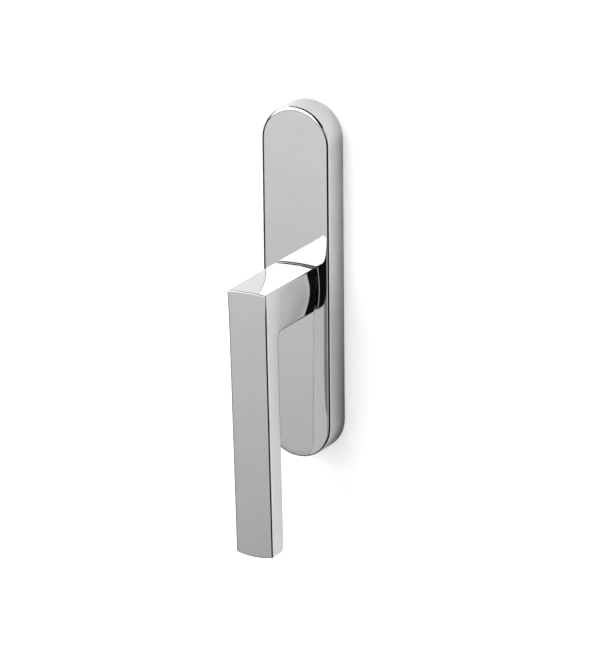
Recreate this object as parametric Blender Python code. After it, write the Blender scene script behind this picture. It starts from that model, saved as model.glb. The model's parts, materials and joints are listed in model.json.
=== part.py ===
"""Window handle with a long plate and a rack gear, modelled as separate pieces.

Frame: metres, +Z up, +X to the right of someone who faces the handle, +Y into the window.
The origin is the spindle axis in the plane of the window profile that the handle sits on.
The lever hangs down, which is the closed position.
"""
from math import acos, cos, pi, radians, sin, tan

import bmesh
import bpy

# ---- driving dimensions, metres ------------------------------------------------------------
CLEAR = 0.0003              # gap between pieces that rest on each other
RUNNING = 0.0001            # radial gap of a turning fit

COVER_WIDTH = 0.0350
COVER_HEIGHT = 0.1698
COVER_DEPTH = 0.0144
COVER_RISE = 0.0011         # the middle of the plate stands this far above the spindle
COVER_SIDE_WALL = 0.0014
COVER_FRONT_WALL = 0.0027
COVER_EDGE_RADIUS = 0.0012
COVER_LEAD_WIDTH = 0.0030   # over this width the face bends down to meet its edge
COVER_LEAD_ANGLE = radians(13)
COVER_DRAFT = 0.0001       # the side leans in by this much towards the front

GRIP_WIDTH = 0.0200
GRIP_END_WIDTH = 0.0196
GRIP_THICKNESS = 0.0108
GRIP_LEAN = radians(1.7)    # the grip draws in towards the window as it goes down
LEVER_PROJECTION = 0.0604   # window profile to the front of the grip
LEVER_TOP = 0.0104
LEVER_END = -0.1178
NECK_BOTTOM = -0.01035
NECK_GAP = 0.0014           # shadow line between the neck and the cover
BOSS_RADIUS = 0.0098        # round boss on the neck's end, in that gap
TOP_CROWN = 0.0006
END_CROWN = 0.0012
NECK_CORNER_SWELL = 0.0007  # the neck widens towards the plate, a little more at half its height
NECK_SIDE_SWELL = 0.0015
SWELL_START = -0.0460
SWELL_POWER = 1.7
LEVER_EDGE_RADIUS = 0.0005
INNER_CORNER_RADIUS = 0.0025
END_BACK_RADIUS = 0.0030
LEVER_COLUMNS = (-1.0, -0.5, 0.0, 0.5, 1.0)
GRUB_Y = -0.0240
GRUB_RADIUS = 0.00285
GRUB_TOP = -0.0039
GRUB_BOTTOM = -0.0098
GRUB_KEY_RADIUS = 0.0017
GRUB_KEY_TOP = -0.0070

BASE_HALF_WIDTH = 0.0150
BASE_FLANGE_DEPTH = 0.0050
BASE_BLOCK_DEPTH = 0.0104
BASE_BLOCK_HALF_HEIGHT = 0.0650
BASE_BLOCK_INSET = 0.0002   # the block's sides stand back from the flange's
BASE_BLOCK_CORNER = 0.0020
RECESS_CORNER = 0.0015
RACK_POCKET_CORNER = 0.0010
RACK_POCKET_HALF_WIDTH = 0.0136
RACK_POCKET_HALF_HEIGHT = 0.0578
RACK_POCKET_DEPTH = 0.0057
CAM_POCKET_RADIUS = 0.0092
CAM_POCKET_DEPTH = 0.0084
BUSH_HOLE_RADIUS = 0.0085
NECK_HOLE_RADIUS = 0.0092
SEAL_THICKNESS = 0.0005
SEAL_DEPTH = 0.0023
CLIP_HALF_WIDTH = 0.0040
CLIP_THICKNESS = 0.0006
CLIP_FOOT = 0.0784          # from the middle of the plate to the foot's end and to the leg's face
CLIP_LEG = 0.0823
CLIP_REACH = 0.0105

REAR_PLATE_THICKNESS = 0.0012
REAR_PLATE_HALF_WIDTH = 0.0139
REAR_PLATE_HALF_HEIGHT = 0.0632
REAR_SCREW_X = 0.0105
REAR_SCREW_Z = 0.0605
REAR_SCREW_RADIUS = 0.0012
REAR_SCREW_HEAD_RADIUS = 0.0021
REAR_SCREW_HEAD_DEPTH = 0.0010
REAR_SCREW_LENGTH = 0.0072
REAR_SCREW_SLOT = (0.0015, 0.0003)

FIXING_OFFSET = 0.0730      # fixing screws, above and below the middle of the plate
FIXING_HEAD_CHAMFER = 0.0004
FIXING_POINT = 0.0010
FIXING_RADIUS = 0.0024
FIXING_HEAD_RADIUS = 0.0045
FIXING_HEAD_HEIGHT = 0.0030
FIXING_KEY_RADIUS = 0.0023
FIXING_KEY_DEPTH = 0.0018
FIXING_TIP = 0.0240
WASHER_RADII = (0.0027, 0.0050)
WASHER_THICKNESS = 0.0008
SPIGOT_RADIUS = 0.0059
SPIGOT_LENGTH = 0.0080

GEAR_MODULE = 0.0015
GEAR_TEETH = 12
PRESSURE_ANGLE = radians(25)
TOOTH_THINNING = 0.0001     # taken off each flank, so that the teeth run free
RACK_HALF_TRAVEL_TEETH = 3  # half a turn of the lever moves a rack twice this many teeth
RACK_BACK = 0.0133
GEAR_FRONT = -0.0055
GEAR_REAR = -0.0016

SPINDLE_SIDE = 0.0070
SPINDLE_FRONT = -0.0400
SPINDLE_REAR = -0.0006
SPINDLE_CHAMFER = 0.0004
JOURNAL_RADIUS = 0.0063
GROOVE_RADIUS = 0.00575
SNAP_RING_RADII = (0.0060, 0.0080)
SNAP_RING_MOUTH = radians(40)
COLLAR_FLANGE_RADIUS = 0.0106
THRUST_RADII = (0.0065, 0.0083)
CAM_FLAT = 0.0065           # spindle axis to a flat of the cam, and to its rounded corners
CAM_CORNER = 0.0083
SPRING_THICKNESS = 0.0007
SPRING_HALF_LENGTH = 0.0190
PEG_Z = 0.0220
PEG_RADIUS = 0.0030
PEG_NECK_RADIUS = 0.0022
PEG_REACH = 0.0110
PEG_CHAMFER = 0.0005
RACK_FOOT_HALF_HEIGHT = 0.0070
RACK_FOOT_REACH = 0.0050    # how far the foot passes the middle of the plate

# ---- layers on the spindle: (front, rear) depths, from the window profile ------------------
COLLAR_FLANGE = (-0.0114, -0.0107)
COLLAR_REAR = -0.0118
JOURNAL_GROOVE = (-0.0116, -0.0108)
SNAP_RING = (-0.01145, -0.01095)
THRUST_WASHER = (-0.01075, -0.01050)
BASE_BUSH = (-0.0104, -0.0082)
SPRINGS = (-0.0081, -0.0061)
CAM = (-0.0079, -0.0058)
CAM_JOURNAL_REAR = -0.0066
PINION_HUB = (-0.0030, -0.0003)
PEG_FRONT = -0.0053
PEG_SHOULDER = -0.0013
BEYOND = 0.0200             # where a cutter ends, well outside the piece it cuts

# ---- sizes that follow from them -----------------------------------------------------------
COVER_HALF_WIDTH = COVER_WIDTH / 2
STADIUM_HALF_STRAIGHT = (COVER_HEIGHT - COVER_WIDTH) / 2
COVER_FACE = -COVER_DEPTH
PITCH_RADIUS = GEAR_MODULE * GEAR_TEETH / 2
TOOTH_PITCH = pi * GEAR_MODULE
ADDENDUM = GEAR_MODULE
DEDENDUM = 1.25 * GEAR_MODULE
RACK_TRAVEL = pi * PITCH_RADIUS
SOCKET_SIDE = SPINDLE_SIDE + 2 * CLEAR
NECK_END = COVER_FACE - NECK_GAP
BOSS_END = COVER_FACE - CLEAR


# ---- scene and materials -------------------------------------------------------------------
def clear_scene():
    for item in list(bpy.data.objects):
        bpy.data.objects.remove(item)


def material(name, colour, roughness, metallic):
    made = bpy.data.materials.new(name)
    made.use_nodes = True
    shader = made.node_tree.nodes["Principled BSDF"]
    shader.inputs["Base Color"].default_value = (*colour, 1)
    shader.inputs["Roughness"].default_value = roughness
    shader.inputs["Metallic"].default_value = metallic
    made.diffuse_color = (*colour, 1)
    return made


def empty(name):
    made = bpy.data.objects.new(name, None)
    made.empty_display_size = 0.01
    bpy.context.scene.collection.objects.link(made)
    return made


def add_object(name, bm, look=None, parent=None, smooth_angle=30):
    """Close the mesh into an object, with its faces pointing out and round parts shaded smooth."""
    bmesh.ops.recalc_face_normals(bm, faces=bm.faces)
    mesh = bpy.data.meshes.new(name)
    bm.to_mesh(mesh)
    bm.free()
    mesh.shade_smooth()
    mesh.set_sharp_from_angle(angle=radians(smooth_angle))
    if look:
        mesh.materials.append(look)
    made = bpy.data.objects.new(name, mesh)
    made.parent = parent
    bpy.context.scene.collection.objects.link(made)
    return made


def boolean(target, other, operation="DIFFERENCE"):
    """Cut or join with a helper object, which stays out of the finished handle."""
    other.hide_render = True
    other.display_type = "WIRE"
    step = target.modifiers.new(other.name, "BOOLEAN")
    step.operation = operation
    step.solver = "EXACT"
    step.object = other


# ---- outlines, in the plane of the plate, as (x, z) ----------------------------------------
def arc(centre, radius, start, end, steps):
    """Points on an arc, both ends included."""
    return [
        (
            centre[0] + radius * cos(start + (end - start) * i / steps),
            centre[1] + radius * sin(start + (end - start) * i / steps),
        )
        for i in range(steps + 1)
    ]


def circle(radius, steps, centre=(0, 0), turn=0.0):
    return arc(centre, radius, turn, turn + 2 * pi, steps)[:-1]


def stadium(half_width, half_straight, middle=0.0, steps=16):
    """A slot shape standing up: two half circles and two straight sides."""
    top = arc((0, middle + half_straight), half_width, 0, pi, steps)
    bottom = arc((0, middle - half_straight), half_width, pi, 2 * pi, steps)
    return top + bottom


def cover_outline(half_width, steps=16):
    return stadium(half_width, STADIUM_HALF_STRAIGHT, COVER_RISE, steps)


def rectangle(low_x, high_x, low_z, high_z):
    return [(low_x, low_z), (high_x, low_z), (high_x, high_z), (low_x, high_z)]


def rounded_rectangle(half_width, half_height, radius, steps=5):
    points = []
    for x, z, start in ((1, 1, 0), (-1, 1, pi / 2), (-1, -1, pi), (1, -1, 1.5 * pi)):
        corner = (x * (half_width - radius), z * (half_height - radius))
        points += arc(corner, radius, start, start + pi / 2, steps)
    return points


# ---- solids --------------------------------------------------------------------------------
def stack(bm, levels):
    """Join outlines of equal length, each at its own depth, into one closed body."""
    rings = [[bm.verts.new((x, y, z)) for x, z in outline] for y, outline in levels]
    count = len(rings[0])
    for near, far in zip(rings, rings[1:]):
        for i in range(count):
            j = (i + 1) % count
            bm.faces.new((near[i], near[j], far[j], far[i]))
    bm.faces.new(rings[0])
    bm.faces.new(rings[-1])


def prism(outline, front, rear, holes=()):
    """A plate cut to an outline, between two depths, with holes right through it."""
    bm = bmesh.new()
    edges = {front: [], rear: []}
    for loop in (outline, *holes):
        rings = []
        for depth in (front, rear):
            ring = [bm.verts.new((x, depth, z)) for x, z in loop]
            edges[depth] += [bm.edges.new((ring[i - 1], ring[i])) for i in range(len(ring))]
            rings.append(ring)
        for i in range(len(loop)):
            bm.faces.new((rings[0][i - 1], rings[0][i], rings[1][i], rings[1][i - 1]))
    for depth in (front, rear):
        if holes:
            bmesh.ops.triangle_fill(bm, edges=edges[depth], use_beauty=True, normal=(0, 1, 0))
        else:
            bmesh.ops.edgeloop_fill(bm, edges=edges[depth])
    return bm


def turned(profile, centre=(0, 0), steps=32):
    """A piece turned about an axis along Y, from a closed profile of (radius, y) points.

    A profile that starts and ends on the axis makes a solid piece, and any other makes a ring.
    """
    bm = bmesh.new()
    rings = []
    for radius, y in profile:
        if radius == 0:
            rings.append([bm.verts.new((centre[0], y, centre[1]))])
        else:
            rings.append([bm.verts.new((x, y, z)) for x, z in circle(radius, steps, centre)])
    is_ring = len(rings[0]) > 1
    pairs = list(zip(rings, rings[1:] + ([rings[0]] if is_ring else [])))
    for one, two in pairs:
        if len(one) == 1 and len(two) == 1:
            continue
        for i in range(steps):
            j = (i + 1) % steps
            corners = []
            for vert in (one[i % len(one)], one[j % len(one)], two[j % len(two)], two[i % len(two)]):
                if vert not in corners:
                    corners.append(vert)
            bm.faces.new(corners)
    return bm


# ---- the fixed plate -----------------------------------------------------------------------
def cover_front_edge():
    """(inset, depth) from the cover's side, round its edge and up the bend of its face."""
    slope = tan(COVER_LEAD_ANGLE)
    lead_drop = slope * COVER_LEAD_WIDTH / 3
    points = []
    for i in range(5):
        angle = (pi / 2 - COVER_LEAD_ANGLE) * i / 4
        inset = COVER_EDGE_RADIUS * (1 - cos(angle))
        rise = COVER_EDGE_RADIUS * (cos(COVER_LEAD_ANGLE) - sin(angle))
        points.append((inset, lead_drop + rise))
    edge_width = points[-1][0]
    for i in (1, 2, 3):
        left = 1 - i / 3
        points.append((edge_width + COVER_LEAD_WIDTH * (1 - left), lead_drop * left ** 3))
    return points


def cover_plate(look, parent):
    """Pressed and polished shell with a rolled front edge and a round hole for the neck."""
    levels = [(0.0, cover_outline(COVER_HALF_WIDTH))]
    for inset, depth in cover_front_edge():
        half_width = COVER_HALF_WIDTH - COVER_DRAFT - inset
        levels.append((COVER_FACE + depth, cover_outline(half_width)))
    bm = bmesh.new()
    stack(bm, levels)
    cover = add_object("cover_plate", bm, look, parent)
    hollow = cover_outline(COVER_HALF_WIDTH - COVER_SIDE_WALL)
    inner_face = COVER_FACE + COVER_FRONT_WALL
    boolean(cover, add_object("cut_cover_hollow", prism(hollow, inner_face, BEYOND)))
    hole = circle(NECK_HOLE_RADIUS, 48)
    boolean(cover, add_object("cut_cover_neck_hole", prism(hole, -BEYOND, inner_face + CLEAR)))
    return cover


def base_plate(look, parent):
    """Cast chassis: a thin flange with screw spigots, and a thick block that holds the gear."""
    flange = prism(cover_outline(BASE_HALF_WIDTH), -BASE_FLANGE_DEPTH, 0.0)
    base = add_object("base_plate", flange, look, parent)
    inside_flange = -BASE_FLANGE_DEPTH / 2
    block_outline = rounded_rectangle(
        BASE_HALF_WIDTH - BASE_BLOCK_INSET, BASE_BLOCK_HALF_HEIGHT, BASE_BLOCK_CORNER)
    block = prism(block_outline, -BASE_BLOCK_DEPTH, inside_flange)
    boolean(base, add_object("join_base_block", block), "UNION")
    for place in (1, -1):
        centre = (0, COVER_RISE + place * FIXING_OFFSET)
        side = "upper" if place > 0 else "lower"
        spigot = prism(circle(SPIGOT_RADIUS, 32, centre), inside_flange, SPIGOT_LENGTH)
        boolean(base, add_object("join_spigot_" + side, spigot), "UNION")
        hole = prism(circle(FIXING_RADIUS + CLEAR, 24, centre), -BEYOND, BEYOND)
        boolean(base, add_object("cut_fixing_hole_" + side, hole))
    recess = rounded_rectangle(
        REAR_PLATE_HALF_WIDTH + CLEAR, REAR_PLATE_HALF_HEIGHT + CLEAR, RECESS_CORNER)
    recess_depth = REAR_PLATE_THICKNESS + CLEAR
    boolean(base, add_object("cut_rear_recess", prism(recess, -recess_depth, CLEAR)))
    pocket = rounded_rectangle(
        RACK_POCKET_HALF_WIDTH, RACK_POCKET_HALF_HEIGHT, RACK_POCKET_CORNER)
    boolean(base, add_object("cut_rack_pocket", prism(pocket, -RACK_POCKET_DEPTH, 2 * CLEAR)))
    cam_room = circle(CAM_POCKET_RADIUS, 40)
    in_rack_pocket = -RACK_POCKET_DEPTH / 2
    boolean(base, add_object("cut_cam_pocket", prism(cam_room, -CAM_POCKET_DEPTH, in_rack_pocket)))
    for label, side in (("right", 1), ("left", -1)):
        near, far = spring_sides(side)
        slot_length = SPRING_HALF_LENGTH + CLEAR
        slot = rectangle(near - CLEAR, far + CLEAR, -slot_length, slot_length)
        cut = prism(slot, -CAM_POCKET_DEPTH, in_rack_pocket - CLEAR)
        boolean(base, add_object("cut_spring_slot_" + label, cut))
    bush_hole = circle(BUSH_HOLE_RADIUS, 40)
    boolean(base, add_object("cut_bush_hole", prism(bush_hole, -BEYOND, in_rack_pocket - 2 * CLEAR)))
    for x, z in rear_screw_places():
        hole = circle(REAR_SCREW_RADIUS + CLEAR, 16, (x, z))
        cut = prism(hole, -REAR_SCREW_LENGTH - 2 * CLEAR, 3 * CLEAR)
        boolean(base, add_object("cut_rear_screw_hole", cut))
    return base


def spring_sides(side):
    """Lowest and highest x of the leaf spring on the right (1) or on the left (-1)."""
    near = CAM_FLAT + CLEAR
    return sorted((side * near, side * (near + SPRING_THICKNESS)))


def rear_screw_places():
    return [(x, z) for z in (REAR_SCREW_Z, -REAR_SCREW_Z) for x in (-REAR_SCREW_X, REAR_SCREW_X)]


def rear_plate(look, parent):
    """Steel closing plate, with a slot for each drive peg to travel in."""
    outline = rounded_rectangle(
        REAR_PLATE_HALF_WIDTH, REAR_PLATE_HALF_HEIGHT, RECESS_CORNER - CLEAR)
    slot_half_width = PEG_RADIUS + CLEAR
    half_straight = RACK_TRAVEL / 2 + CLEAR
    plate = prism(outline, -REAR_PLATE_THICKNESS, 0.0)
    made = add_object("rear_plate", plate, look, parent)
    journal_hole = prism(circle(JOURNAL_RADIUS + CLEAR, 32), -BEYOND, BEYOND)
    boolean(made, add_object("cut_journal_hole", journal_hole))
    for side, place in (("upper", 1), ("lower", -1)):
        middle = place * (PEG_Z + RACK_TRAVEL / 2)
        slot = prism(stadium(slot_half_width, half_straight, middle, 10), -BEYOND, BEYOND)
        boolean(made, add_object("cut_peg_slot_" + side, slot))
    hole_radius = REAR_SCREW_RADIUS + CLEAR
    rim_radius = hole_radius + 2 * REAR_SCREW_HEAD_DEPTH
    sink = [
        (0, REAR_SCREW_HEAD_DEPTH), (rim_radius, REAR_SCREW_HEAD_DEPTH),
        (hole_radius, -REAR_SCREW_HEAD_DEPTH), (hole_radius, -BEYOND), (0, -BEYOND),
    ]
    for number, (x, z) in enumerate(rear_screw_places(), 1):
        boolean(made, add_object(f"cut_countersink_{number}", turned(sink, (x, z), 20)))
    return made


def edge_seal(look, parent):
    """Rubber cord that fills the gap between the chassis and the cover, round the rim."""
    inner = cover_outline(BASE_HALF_WIDTH + CLEAR)
    outer = cover_outline(BASE_HALF_WIDTH + CLEAR + SEAL_THICKNESS)
    return add_object("edge_seal", prism(outer, -SEAL_DEPTH, -CLEAR, (inner,)), look, parent)


def cover_clip(name, place, look, parent):
    """Spring clip on the flange that grips the end wall of the cover."""
    foot_rear = -BASE_FLANGE_DEPTH - CLEAR
    foot_front = foot_rear - CLIP_THICKNESS
    leg_back = CLIP_LEG - CLIP_THICKNESS
    side_view = [
        (foot_rear, CLIP_FOOT), (foot_rear, CLIP_LEG), (-CLIP_REACH, CLIP_LEG),
        (-CLIP_REACH, leg_back), (foot_front, leg_back), (foot_front, CLIP_FOOT),
    ]
    bm = bmesh.new()
    rings = [
        [bm.verts.new((x, y, COVER_RISE + place * z)) for y, z in side_view]
        for x in (-CLIP_HALF_WIDTH, CLIP_HALF_WIDTH)
    ]
    for i in range(len(side_view)):
        bm.faces.new((rings[0][i - 1], rings[0][i], rings[1][i], rings[1][i - 1]))
    for ring in rings:
        bm.faces.new(ring)
    return add_object(name, bm, look, parent)


def fixing_screw(name, place, look, parent):
    """Socket-head screw, with its head on the flange and its thread behind the window face."""
    centre = (0, COVER_RISE + place * FIXING_OFFSET)
    head_rear = -BASE_FLANGE_DEPTH - WASHER_THICKNESS - 2 * CLEAR
    head_front = head_rear - FIXING_HEAD_HEIGHT
    profile = [
        (0, head_front), (FIXING_HEAD_RADIUS - FIXING_HEAD_CHAMFER, head_front),
        (FIXING_HEAD_RADIUS, head_front + FIXING_HEAD_CHAMFER), (FIXING_HEAD_RADIUS, head_rear),
        (FIXING_RADIUS, head_rear), (FIXING_RADIUS, FIXING_TIP - FIXING_POINT),
        (FIXING_RADIUS - FIXING_POINT, FIXING_TIP), (0, FIXING_TIP),
    ]
    screw = add_object(name, turned(profile, centre, 24), look, parent)
    key = circle(FIXING_KEY_RADIUS, 6, centre)
    socket = prism(key, -BEYOND, head_front + FIXING_KEY_DEPTH)
    boolean(screw, add_object("cut_" + name + "_socket", socket))
    return screw


def fixing_washer(name, place, look, parent):
    centre = (0, COVER_RISE + place * FIXING_OFFSET)
    rear = -BASE_FLANGE_DEPTH - CLEAR
    layer = (rear - WASHER_THICKNESS, rear)
    return add_object(name, turned(washer_profile(WASHER_RADII, layer), centre, 24), look, parent)


def rear_plate_screw(name, centre, look, parent):
    """Countersunk screw, flush with the closing plate."""
    face = -RUNNING
    under_head = face - REAR_SCREW_HEAD_DEPTH
    tip = -REAR_SCREW_LENGTH
    profile = [
        (0, face), (REAR_SCREW_HEAD_RADIUS, face), (REAR_SCREW_RADIUS, under_head),
        (REAR_SCREW_RADIUS, tip + REAR_SCREW_RADIUS / 2), (0, tip),
    ]
    screw = add_object(name, turned(profile, centre, 20), look, parent)
    x, z = centre
    long_half, short_half = REAR_SCREW_SLOT
    slot = rectangle(x - long_half, x + long_half, z - short_half, z + short_half)
    slot_floor = face - REAR_SCREW_HEAD_DEPTH / 2
    boolean(screw, add_object("cut_" + name + "_slot", prism(slot, slot_floor, BEYOND)))
    return screw


def washer_profile(radii, layer):
    """A flat ring between two radii, in a layer given as (front, rear)."""
    inner, outer = radii
    front, rear = layer
    return [(inner, rear), (outer, rear), (outer, front), (inner, front)]


def base_bush(look, parent):
    radii = (JOURNAL_RADIUS + RUNNING, BUSH_HOLE_RADIUS - CLEAR)
    profile = washer_profile(radii, BASE_BUSH)
    return add_object("base_bush", turned(profile, steps=40), look, parent)


def glide_ring(look, parent):
    """Collar that lines the cover's hole, with a flange behind the cover to keep it there."""
    inner = JOURNAL_RADIUS + CLEAR
    outer = NECK_HOLE_RADIUS - CLEAR
    snap_ring_room = SNAP_RING_RADII[1] + CLEAR + RUNNING
    flange_front, flange_rear = COLLAR_FLANGE
    profile = [
        (inner, COVER_FACE), (outer, COVER_FACE), (outer, flange_front),
        (COLLAR_FLANGE_RADIUS, flange_front), (COLLAR_FLANGE_RADIUS, flange_rear),
        (snap_ring_room, flange_rear), (snap_ring_room, COLLAR_REAR), (inner, COLLAR_REAR),
    ]
    return add_object("glide_ring", turned(profile, steps=48), look, parent)


def thrust_washer(look, parent):
    profile = washer_profile(THRUST_RADII, THRUST_WASHER)
    return add_object("thrust_washer", turned(profile, steps=40), look, parent)


def detent_spring(name, side, look, parent):
    """Leaf spring that bears on a flat of the cam."""
    low, high = spring_sides(side)
    leaf = rectangle(low, high, -SPRING_HALF_LENGTH, SPRING_HALF_LENGTH)
    return add_object(name, prism(leaf, *SPRINGS), look, parent)


# ---- the pieces that turn with the lever ---------------------------------------------------
def halfway(one, two):
    return ((one[0] + two[0]) / 2, (one[1] + two[1]) / 2)


def lever_sections():
    """Pairs of (y, z) points across the lever, from the neck's end round to the grip's end.

    The first of a pair is on the top of the neck or the front of the grip, and the second is on
    the underside of the neck or the back of the grip.
    """
    drop = tan(GRIP_LEAN)

    def front_at(z):
        return -LEVER_PROJECTION + drop * (LEVER_TOP - z)

    def back_at(z):
        return front_at(z) + GRIP_THICKNESS

    radius = INNER_CORNER_RADIUS
    centre = (back_at(NECK_BOTTOM) + radius, NECK_BOTTOM - radius)
    inner = arc(centre, radius, pi / 2, pi, 4)
    neck_steps = 6
    neck_length = inner[0][0] - NECK_END
    places = [NECK_END + neck_length * i / neck_steps for i in range(neck_steps)]
    sections = [((y, LEVER_TOP), (y, NECK_BOTTOM)) for y in places]
    before = (inner[0][0], LEVER_TOP)
    corner = (-LEVER_PROJECTION, LEVER_TOP)
    after = (front_at(inner[-1][1]), inner[-1][1])
    outer = [before, halfway(before, corner), corner, halfway(corner, after), after]
    sections += list(zip(outer, inner))
    radius = END_BACK_RADIUS
    centre = (back_at(LEVER_END + radius) - radius, LEVER_END + radius)
    rounding = arc(centre, radius, 0, -pi / 2, 4)
    for i, back in enumerate(rounding):
        front_z = LEVER_END + radius * (1 - i / 4)
        sections.append(((front_at(front_z), front_z), back))
    return sections


def lever_ring(outer, inner):
    """Corners of one section of the lever, round from the left, with its crown and its swell."""

    swell = (max(0.0, (outer[0] - SWELL_START) / (NECK_END - SWELL_START))) ** SWELL_POWER

    def row(point, crown):
        y, z = point
        if z <= LEVER_END:
            crown = -END_CROWN
        along_grip = (LEVER_TOP - z) / (LEVER_TOP - LEVER_END)
        half_width = (GRIP_WIDTH + (GRIP_END_WIDTH - GRIP_WIDTH) * along_grip) / 2
        half_width += NECK_CORNER_SWELL * swell
        return [(c * half_width, y, z + crown * (1 - c * c)) for c in LEVER_COLUMNS]

    top = row(outer, TOP_CROWN if outer[1] >= LEVER_TOP else 0.0)
    bottom = row(inner, -TOP_CROWN * swell)
    stand_out = (NECK_SIDE_SWELL - NECK_CORNER_SWELL) * swell
    sides = []
    for column, direction in ((-1, 1), (0, -1)):
        x, y, z = ((one + two) / 2 for one, two in zip(top[column], bottom[column]))
        sides.append((x + direction * stand_out, y, z))
    right, left = sides
    return [*top, right, *reversed(bottom), left]


def handle_lever(look, parent):
    """One-piece lever: a square neck that turns down through a right angle into a flat grip."""
    bm = bmesh.new()
    rings = [[bm.verts.new(corner) for corner in lever_ring(*pair)] for pair in lever_sections()]
    for near, far in zip(rings, rings[1:]):
        for i in range(len(near)):
            bm.faces.new((near[i - 1], near[i], far[i], far[i - 1]))
    bm.faces.new(rings[0])
    across = len(LEVER_COLUMNS)
    tip = rings[-1]
    front, right, back, left = tip[:across], tip[across], tip[across + 1:-1][::-1], tip[-1]
    inside = [bm.verts.new((a.co + b.co) / 2) for a, b in zip(front[1:-1], back[1:-1])]
    middle = [left, *inside, right]
    for one, two in ((front, middle), (middle, back)):
        for i in range(across - 1):
            bm.faces.new((one[i], one[i + 1], two[i + 1], two[i]))
    lever = add_object("handle_lever", bm, look, parent)
    edges = lever.modifiers.new("edges", "BEVEL")
    edges.width = LEVER_EDGE_RADIUS
    edges.segments = 2
    edges.limit_method = "ANGLE"
    edges.angle_limit = radians(50)
    boss = prism(circle(BOSS_RADIUS, 40), NECK_END - NECK_GAP, BOSS_END)
    boolean(lever, add_object("join_neck_boss", boss), "UNION")
    socket = prism(spindle_hole(), SPINDLE_FRONT - 2 * CLEAR, BEYOND)
    boolean(lever, add_object("cut_spindle_socket", socket))
    drill = cylinder_up((0, GRUB_Y), GRUB_RADIUS + CLEAR, NECK_BOTTOM - CLEAR, -SPINDLE_SIDE / 4)
    boolean(lever, add_object("cut_grub_hole", drill))
    return lever


def spindle_hole():
    half = SOCKET_SIDE / 2
    return rectangle(-half, half, -half, half)


def cylinder_up(centre, radius, low, high, steps=24):
    """A cylinder that stands along Z, centred on (x, y)."""
    bm = bmesh.new()
    rings = [
        [bm.verts.new((x, y, z)) for x, y in circle(radius, steps, centre)] for z in (low, high)
    ]
    for i in range(steps):
        bm.faces.new((rings[0][i - 1], rings[0][i], rings[1][i], rings[1][i - 1]))
    for ring in rings:
        bm.faces.new(ring)
    return bm


def neck_grub_screw(look, parent):
    """Socket set screw under the neck, which clamps the lever to the spindle."""
    stud = cylinder_up((0, GRUB_Y), GRUB_RADIUS, GRUB_BOTTOM, GRUB_TOP)
    screw = add_object("neck_grub_screw", stud, look, parent)
    key = cylinder_up((0, GRUB_Y), GRUB_KEY_RADIUS, NECK_BOTTOM, GRUB_KEY_TOP, 6)
    boolean(screw, add_object("cut_grub_socket", key))
    return screw


def square_spindle(look, parent):
    half = SPINDLE_SIDE / 2
    outline = rounded_rectangle(half, half, SPINDLE_CHAMFER, 1)
    return add_object("square_spindle", prism(outline, SPINDLE_FRONT, SPINDLE_REAR), look, parent)


def detent_cam(look, parent):
    """Four flats for the leaf springs, with the round journal that turns in the bush."""
    spread = pi / 4 - acos(CAM_FLAT / CAM_CORNER)
    outline = []
    for quarter in range(4):
        middle = quarter * pi / 2 + pi / 4
        outline += arc((0, 0), CAM_CORNER, middle - spread, middle + spread, 4)
    cam = add_object("detent_cam", prism(outline, *CAM), look, parent)
    groove_front, groove_rear = JOURNAL_GROOVE
    journal = [
        (0, CAM_JOURNAL_REAR), (JOURNAL_RADIUS, CAM_JOURNAL_REAR), (JOURNAL_RADIUS, groove_rear),
        (GROOVE_RADIUS, groove_rear), (GROOVE_RADIUS, groove_front),
        (JOURNAL_RADIUS, groove_front), (JOURNAL_RADIUS, COVER_FACE), (0, COVER_FACE),
    ]
    boolean(cam, add_object("join_journal", turned(journal, steps=48)), "UNION")
    boolean(cam, add_object("cut_cam_socket", prism(spindle_hole(), -BEYOND, BEYOND)))
    return cam


def retaining_ring(look, parent):
    """Open snap ring in the groove of the journal."""
    start = -pi / 2 + SNAP_RING_MOUTH / 2
    end = 3 * pi / 2 - SNAP_RING_MOUTH / 2
    inner_radius, outer_radius = SNAP_RING_RADII
    outline = arc((0, 0), outer_radius, start, end, 30) + arc((0, 0), inner_radius, end, start, 30)
    return add_object("retaining_ring", prism(outline, *SNAP_RING), look, parent)


def involute(angle):
    return tan(angle) - angle


def pinion_outline():
    """Involute teeth; below the base circle each flank runs straight towards the middle."""
    base = PITCH_RADIUS * cos(PRESSURE_ANGLE)
    root = PITCH_RADIUS - DEDENDUM
    tip = PITCH_RADIUS + ADDENDUM
    half_at_pitch = pi / (2 * GEAR_TEETH) - TOOTH_THINNING / PITCH_RADIUS

    def half_angle(radius):
        if radius <= base:
            return half_at_pitch + involute(PRESSURE_ANGLE)
        return half_at_pitch + involute(PRESSURE_ANGLE) - involute(acos(base / radius))

    radii = (root, base, (base + PITCH_RADIUS) / 2, PITCH_RADIUS, (PITCH_RADIUS + tip) / 2, tip)
    points = []
    for tooth in range(GEAR_TEETH):
        middle = 2 * pi * tooth / GEAR_TEETH
        flank = [(radius, half_angle(radius)) for radius in radii]
        for radius, half in flank:
            points.append((radius * cos(middle - half), radius * sin(middle - half)))
        for radius, half in reversed(flank):
            points.append((radius * cos(middle + half), radius * sin(middle + half)))
    return points


def drive_pinion(look, parent):
    pinion = add_object("drive_pinion", prism(pinion_outline(), GEAR_FRONT, GEAR_REAR), look, parent)
    hub = prism(circle(JOURNAL_RADIUS - RUNNING, 32), *PINION_HUB)
    boolean(pinion, add_object("join_pinion_hub", hub), "UNION")
    boolean(pinion, add_object("cut_pinion_socket", prism(spindle_hole(), -BEYOND, BEYOND)))
    return pinion


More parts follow.
